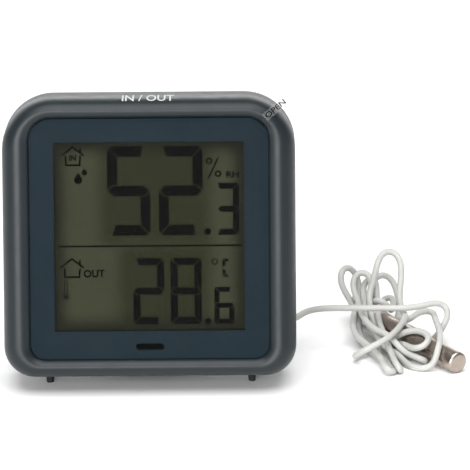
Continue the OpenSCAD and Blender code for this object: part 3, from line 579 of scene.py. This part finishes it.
def wordMesh(words, thick=0.0, bold=0.012):
    # words as a mesh one unit high and wide, lying in x and y
    data = bpy.data.curves.new("words", "FONT")
    data.body = words
    data.resolution_u = 3
    data.extrude = thick
    data.offset = bold
    holder = bpy.data.objects.new("words", data)
    scene.collection.objects.link(holder)
    bpy.context.view_layer.update()
    mesh = bpy.data.meshes.new_from_object(holder)
    bpy.data.objects.remove(holder)
    bpy.data.curves.remove(data)
    low = Vector([min(v.co[k] for v in mesh.vertices) for k in range(3)])
    high = Vector([max(v.co[k] for v in mesh.vertices) for k in range(3)])
    mesh.transform(Matrix.Diagonal((1 / (high.x - low.x), 1 / (high.y - low.y), 1, 1))
                   @ Matrix.Translation((-low.x, -low.y, 0)))
    return mesh


standUp = Matrix.Rotation(math.radians(90), 4, "X")


def wordsInBox(shape, words, left, right, low, high, front, back):
    # words that fill a box of x and z
    mesh = wordMesh(words, thick=0.5, bold=0.035)
    mesh.transform(Matrix.Translation((left, (front + back) / 2, low))
                   @ Matrix.Diagonal((right - left, back - front, high - low, 1)) @ standUp)
    shape.from_mesh(mesh)
    bpy.data.meshes.remove(mesh)


# the bars of each figure: a top, b upper right, c lower right, d bottom, e lower left, f upper left, g middle
litBars = {"5": "afgcd", "2": "abged", "3": "abgcd", "8": "abcdefg", "6": "afgecd", "C": "afed"}


# a figure's details: where an outer corner's bevels lie, in corner sizes, and how steeply unlit ends are cut
figurePlan = {"bevel": 0.29, "bend": 0.62, "inset": 0.08, "leftLean": 0.38, "rightLead": 0.78, "rightLean": 0.12}


def figure(shape, sign, left, right, low, high, upright, level, front, back, gap=0.21, corner=1.6, lead=0.45):
    # one seven-bar figure; upright and level are its bars' widths, gap is between bars, corner is their outer
    # rounding, and lead is how far in, in uprights, a bar starts where its left neighbour isn't lit
    w, h = (right - left) / 2, (high - low) / 2
    cx, cz = (right + left) / 2, (high + low) / 2
    r, s = corner, gap
    bevel, bend, inset = figurePlan["bevel"] * r, figurePlan["bend"] * r, figurePlan["inset"] * r
    joined = [(-w + bevel + s, h - bevel), (-w + bend + s / 2, h - inset), (-w + r, h)]
    inner = (-w + upright + s, h - level)

    def end(lit, share, lean):
        # a bar's end: mitred where the upright beside it is lit, cut steeply where it isn't
        return [inner] + joined if lit else [(-w + (share + lean) * upright, h - level), (-w + share * upright, h)]

    def bar(left, right):
        far = end(right, figurePlan["rightLead"], figurePlan["rightLean"])
        return end(left, lead, figurePlan["leftLean"]) + [(-x, z) for x, z in reversed(far)]

    side = [(-w + bevel, h - bevel - s), (-w + inset, h - bend - s / 2), (-w, h - r), (-w, s),
            (-w + level / 2, level / 2 + s), (-w + upright, level / 2 + s), (-w + upright, h - level - s)]
    tip = -w + s * 1.4
    middle = [(tip, 0), (tip + level / 2, level / 2), (-tip - level / 2, level / 2), (-tip, 0),
              (-tip - level / 2, -level / 2), (tip + level / 2, -level / 2)]
    lit = litBars[sign]
    bars = {"a": (bar("f" in lit, "b" in lit), 1, 1), "d": (bar("e" in lit, "c" in lit), 1, -1), "f": (side, 1, 1),
            "b": (side, -1, 1), "e": (side, 1, -1), "c": (side, -1, -1), "g": (middle, 1, 1)}
    for letter in lit:
        outline, sx, sz = bars[letter]
        plate(shape, [(cx + sx * x, cz + sz * z) for x, z in outline], front, back)


housePlan = {"pen": 0.5, "wallIn": (1.0, 0.9), "wallTop": 0.3, "taper": (0.1, 0.2), "chimneyIn": 0.9,
             "chimneyTop": 0.5, "chimneyFoot": 0.9}


def houseIcon(shape, left, right, base, apex, eaves, words, box, front, back):
    # a roof, walls and floor in one line, a chimney, and words in their own box
    middle, pen = (left + right) / 2, housePlan["pen"]
    stroke(shape, [(left, eaves), (middle, apex), (right, eaves)], pen, front, back)
    wallLeft, wallRight = left + housePlan["wallIn"][0], right - housePlan["wallIn"][1]
    wallTop = eaves - housePlan["wallTop"]
    footLeft, footRight = wallLeft + housePlan["taper"][0], wallRight - housePlan["taper"][1]
    stroke(shape, [(wallLeft, wallTop), (footLeft, base), (footRight, base), (wallRight, wallTop)], pen, front, back)
    chimney = right - housePlan["chimneyIn"]
    stroke(shape, [(chimney, apex - housePlan["chimneyTop"]), (chimney, eaves + housePlan["chimneyFoot"])], pen,
           front, back)
    wordsInBox(shape, words, *box, front, back)


dropPlan = {"first": 32, "sweep": 244, "steps": 12}


def droplet(shape, x, tip, base, radius, front, back):
    # a tip above most of a circle
    outline = [(x, tip)]
    for k in range(dropPlan["steps"] + 1):
        angle = math.radians(dropPlan["first"] - k * dropPlan["sweep"] / dropPlan["steps"])
        outline.append((x + radius * math.cos(angle), base + radius + radius * math.sin(angle)))
    plate(shape, outline, front, back)


displayPlan = {"front": 3.35, "back": 3.402, "up": bodyPlan["windowMid"] - 0.33, "squeeze": 0.998}


def buildDisplay(plan):
    # all places are in millimetres from the display's middle
    shape = bmesh.new()
    f, b = plan["front"], plan["back"]
    houseIcon(shape, -23.6, -17.7, 19.9, 24.9, 22.6, "IN", (-21.6, -19.7, 21.1, 22.7), f, b)
    droplet(shape, -19.2, 18.0, 14.7, 1.1, f, b)
    droplet(shape, -17.5, 19.0, 17.1, 0.75, f, b)
    figure(shape, "5", -11.3, 0.4, 0.44, 25.0, 2.75, 2.9, f, b)
    figure(shape, "2", 2.7, 14.7, 0.44, 25.0, 2.75, 2.9, f, b)
    disc(shape, 15.95, 1.4, 0.93, f, b)
    figure(shape, "3", 18.7, 24.6, 0.44, 14.8, 1.7, 1.7, f, b, gap=0.1, corner=0.9, lead=0.02)
    disc(shape, 16.5, 20.8, 0.93, f, b, hole=0.45)
    disc(shape, 18.9, 17.3, 0.93, f, b, hole=0.45)
    stroke(shape, [(18.9, 21.6), (16.3, 16.1)], 0.45, f, b)
    wordsInBox(shape, "RH", 21.1, 24.6, 16.2, 18.0, f, b)
    stroke(shape, [(-24.6, -2.45), (25.1, -2.45)], 0.48, f, b)
    houseIcon(shape, -24.2, -18.1, -10.9, -5.9, -8.25, "OUT", (-18.0, -12.2, -11.1, -8.9), f, b)
    for x in (-23.25, -22.5):
        stroke(shape, [(x, -12.2), (x, -15.5)], 0.2, f, b)
    stroke(shape, [(-23.25, -12.2), (-23.1, -11.9), (-22.65, -11.9), (-22.5, -12.2)], 0.2, f, b)
    disc(shape, -22.88, -16.3, 0.95, f, b, hole=0.76)
    disc(shape, -22.88, -16.3, 0.5, f, b)
    figure(shape, "2", -4.5, 4.0, -24.1, -5.8, 2.0, 2.0, f, b, gap=0.15, corner=1.2)
    figure(shape, "8", 5.7, 14.2, -24.1, -5.8, 2.0, 2.0, f, b, gap=0.15, corner=1.2)
    disc(shape, 15.9, -23.4, 0.88, f, b)
    figure(shape, "6", 17.6, 23.1, -24.1, -13.9, 1.45, 1.4, f, b, gap=0.1, corner=0.7)
    disc(shape, 17.8, -6.9, 0.9, f, b, hole=0.58)
    figure(shape, "C", 19.9, 22.3, -11.2, -6.1, 0.85, 0.8, f, b, gap=0.12, corner=0.3)
    bmesh.ops.scale(shape, vec=(1, 1, plan["squeeze"]), verts=shape.verts)
    bmesh.ops.translate(shape, vec=(0, 0, plan["up"]), verts=shape.verts)
    return makePiece("displaySegments", shape, "segmentInk", "body", drawn)


buildDisplay(displayPlan)
print("display drawn")


gauzePlan = {"width": 9.4, "height": 3.2, "front": 3.05, "back": 3.2, "middle": 8.65, "columns": 24, "rows": 8,
             "wire": 0.07}


def buildGauze(plan):
    # black breathing mesh behind the sensor slot, its holes pressed into a thin sheet
    shape = bmesh.new()
    bmesh.ops.create_grid(shape, x_segments=plan["columns"], y_segments=plan["rows"], size=0.5,
                          matrix=Matrix.Translation((0, plan["front"], plan["middle"])) @ standUp
                          @ Matrix.Diagonal((plan["width"], plan["height"], 1, 1)))
    cells = bmesh.ops.inset_individual(shape, faces=shape.faces, thickness=plan["wire"])
    inner = [face for face in shape.faces if face not in cells["faces"]]
    bmesh.ops.translate(shape, vec=(0, plan["back"] - plan["front"], 0),
                        verts=list({v for face in inner for v in face.verts}))
    return makePiece("slotGauze", shape, "gauzeBlack", "body", drawn)


buildGauze(gauzePlan)

# ---- printed marks ----

printPlan = {"lift": 0.04, "patchLift": 0.02, "weld": 0.002, "longEdge": 0.5, "standOff": 50.0, "backStandOff": 1.5}


def printOnto(name, shape, target, finishName, body, way, lift=printPlan["lift"]):
    # a flat mark is carried along a direction until it lies on the target's surface
    data = target.data
    tree = BVHTree.FromPolygons([v.co for v in data.vertices], [tuple(p.vertices) for p in data.polygons])
    hits = [tree.ray_cast(vert.co, way) for vert in shape.verts]
    reach = sorted(hit[3] for hit in hits if hit[0] is not None)
    for vert, (spot, normal, index, distance) in zip(shape.verts, hits):
        if spot is None:  # a point past the target's outline goes to the nearest surface
            spot, normal, index, distance = tree.find_nearest(vert.co + way * reach[len(reach) // 2])
        vert.co = spot + (normal if normal.dot(way) < 0 else -normal) * lift * mm
    bmesh.ops.remove_doubles(shape, verts=shape.verts, dist=printPlan["weld"] * mm)
    bmesh.ops.dissolve_degenerate(shape, dist=printPlan["weld"] * mm, edges=shape.edges)
    return makePiece(name, shape, finishName, body)


def flatWords(words, width, height, place, cuts=2):
    # flat words centred on a place's origin, their long edges cut so that they can bend
    mesh = wordMesh(words)
    mesh.transform(place @ Matrix.Diagonal((width * mm, height * mm, 1, 1)) @ Matrix.Translation((-0.5, -0.5, 0)))
    shape = bmesh.new()
    shape.from_mesh(mesh)
    bpy.data.meshes.remove(mesh)
    bmesh.ops.triangulate(shape, faces=shape.faces)
    for cut in range(cuts):
        long = [edge for edge in shape.edges if edge.calc_length() > printPlan["longEdge"] * mm]
        bmesh.ops.subdivide_edges(shape, edges=long, cuts=1)
        bmesh.ops.triangulate(shape, faces=shape.faces)
    return shape


facing = aimAlong(-towardCamera)


def viewSpot(across, up):
    # a place in front of the body, where a mark starts its way along the view
    return bodyPlace @ Vector((across * mm, 0.0, up * mm)) + towardCamera * printPlan["standOff"] * mm


rimMark = {"words": "IN / OUT", "width": 14.2, "height": 1.8, "middle": (0.0, 77.25)}
rimPlace = Matrix.Translation(viewSpot(*rimMark["middle"])) @ facing
markShape = flatWords(rimMark["words"], rimMark["width"], rimMark["height"], rimPlace)
printOnto("rimPrint", markShape, shown["front_shell"], "paleInk", "body", -towardCamera)

tabMark = {"words": "OPEN", "width": 6.6, "height": 1.55, "middle": (34.6, 73.9), "turn": 40.0, "patch": (7.4, 2.3),
           "patchCells": (20, 6)}
tabTurn = Matrix.Rotation(math.radians(tabMark["turn"]), 4, "Z")
tabPlace = Matrix.Translation(viewSpot(*tabMark["middle"])) @ facing @ tabTurn
patchWidth, patchHeight = tabMark["patch"]
columns, rows = tabMark["patchCells"]
patchShape = bmesh.new()
bmesh.ops.create_grid(patchShape, x_segments=columns, y_segments=rows, size=0.5,
                      matrix=tabPlace @ Matrix.Diagonal((patchWidth * mm, patchHeight * mm, 1, 1)))
printOnto("tabPatch", patchShape, shown["screen_film"], "tabHaze", "body", -towardCamera,
          lift=printPlan["patchLift"])
markShape = flatWords(tabMark["words"], tabMark["width"], tabMark["height"], tabPlace)
printOnto("tabPrint", markShape, shown["screen_film"], "tabInk", "body", -towardCamera)

# each mark on the back: its words, how far across and above the buttons, its width and its height
backMarks = {"maxMinMark": ("MAX / MIN", -24.5, 4.8, 8.0, 1.3), "clearMark": ("CLEAR", -14.0, -4.8, 5.4, 1.3),
             "unitMark": ("°C / °F", 20.0, 4.8, 6.2, 1.4)}
backFacing = Matrix.Rotation(math.radians(180), 4, "Z") @ standUp
intoBody = bodyTurn.to_3x3() @ Vector((0, -1, 0))
for name, (words, across, above, width, height) in backMarks.items():
    spot = Vector((across, bodyPlan["depth"] + printPlan["backStandOff"], bodyPlan["buttonHeight"] + above)) * mm
    markShape = flatWords(words, width, height, bodyPlace @ Matrix.Translation(spot) @ backFacing, cuts=0)
    printOnto(name, markShape, shown["rear_shell"], "paleInk", "body", intoBody)
print("marks printed")


# ---- floor, light and world ----

studioPlan = {"world": 0.3, "floorShade": 0.93, "floorHalf": 3}
# each light: its place, what it aims at, its size and its power
lightPlan = {
    "overheadBox": ((0.05, -0.15, 1.3), (0.02, 0, 0), (1.4, 1.1), 15.0),
    "frontBox": ((-0.42, -1.45, 0.32), (0, 0, 0.04), (1.25, 0.9), 27.0),
    "backBox": ((0.0, 1.4, 0.36), (0, 0, 0.04), (3.0, 0.7), 11.0),
    "highBox": ((0.0, -0.85, 1.1), (0, 0, 0.04), (1.0, 0.45), 8.0),
}


def buildFloor(plan):
    shape = bmesh.new()
    bmesh.ops.create_grid(shape, x_segments=1, y_segments=1, size=plan["floorHalf"])
    data = bpy.data.meshes.new("studioFloor")
    shape.to_mesh(data)
    shape.free()
    floor = bpy.data.objects.new("studioFloor", data)
    scene.collection.objects.link(floor)
    shade = plan["floorShade"]
    data.materials.append(finish("floorPaper", (shade, shade, shade), (shade * 0.99, shade * 0.99, shade * 0.985),
                                 patch=4, rough=(0.8, 0.9), grain=300, height=0.01, specular=0.1))


def softBox(name, place, aim, size, power):
    data = bpy.data.lights.new(name, "AREA")
    data.shape = "RECTANGLE"
    data.size, data.size_y = size
    data.energy = power
    lamp = bpy.data.objects.new(name, data)
    scene.collection.objects.link(lamp)
    way = Vector(aim) - Vector(place)
    lamp.matrix_world = Matrix.Translation(place) @ aimAlong(way)


buildFloor(studioPlan)
world = bpy.data.worlds.new("studioWorld")
world.use_nodes = True
world.node_tree.nodes["Background"].inputs["Color"].default_value = (1, 1, 1, 1)
world.node_tree.nodes["Background"].inputs["Strength"].default_value = studioPlan["world"]
scene.world = world
scene.view_settings.view_transform = "Standard"
for name, (place, aim, size, power) in lightPlan.items():
    softBox(name, place, aim, size, power)
print("studio lit")
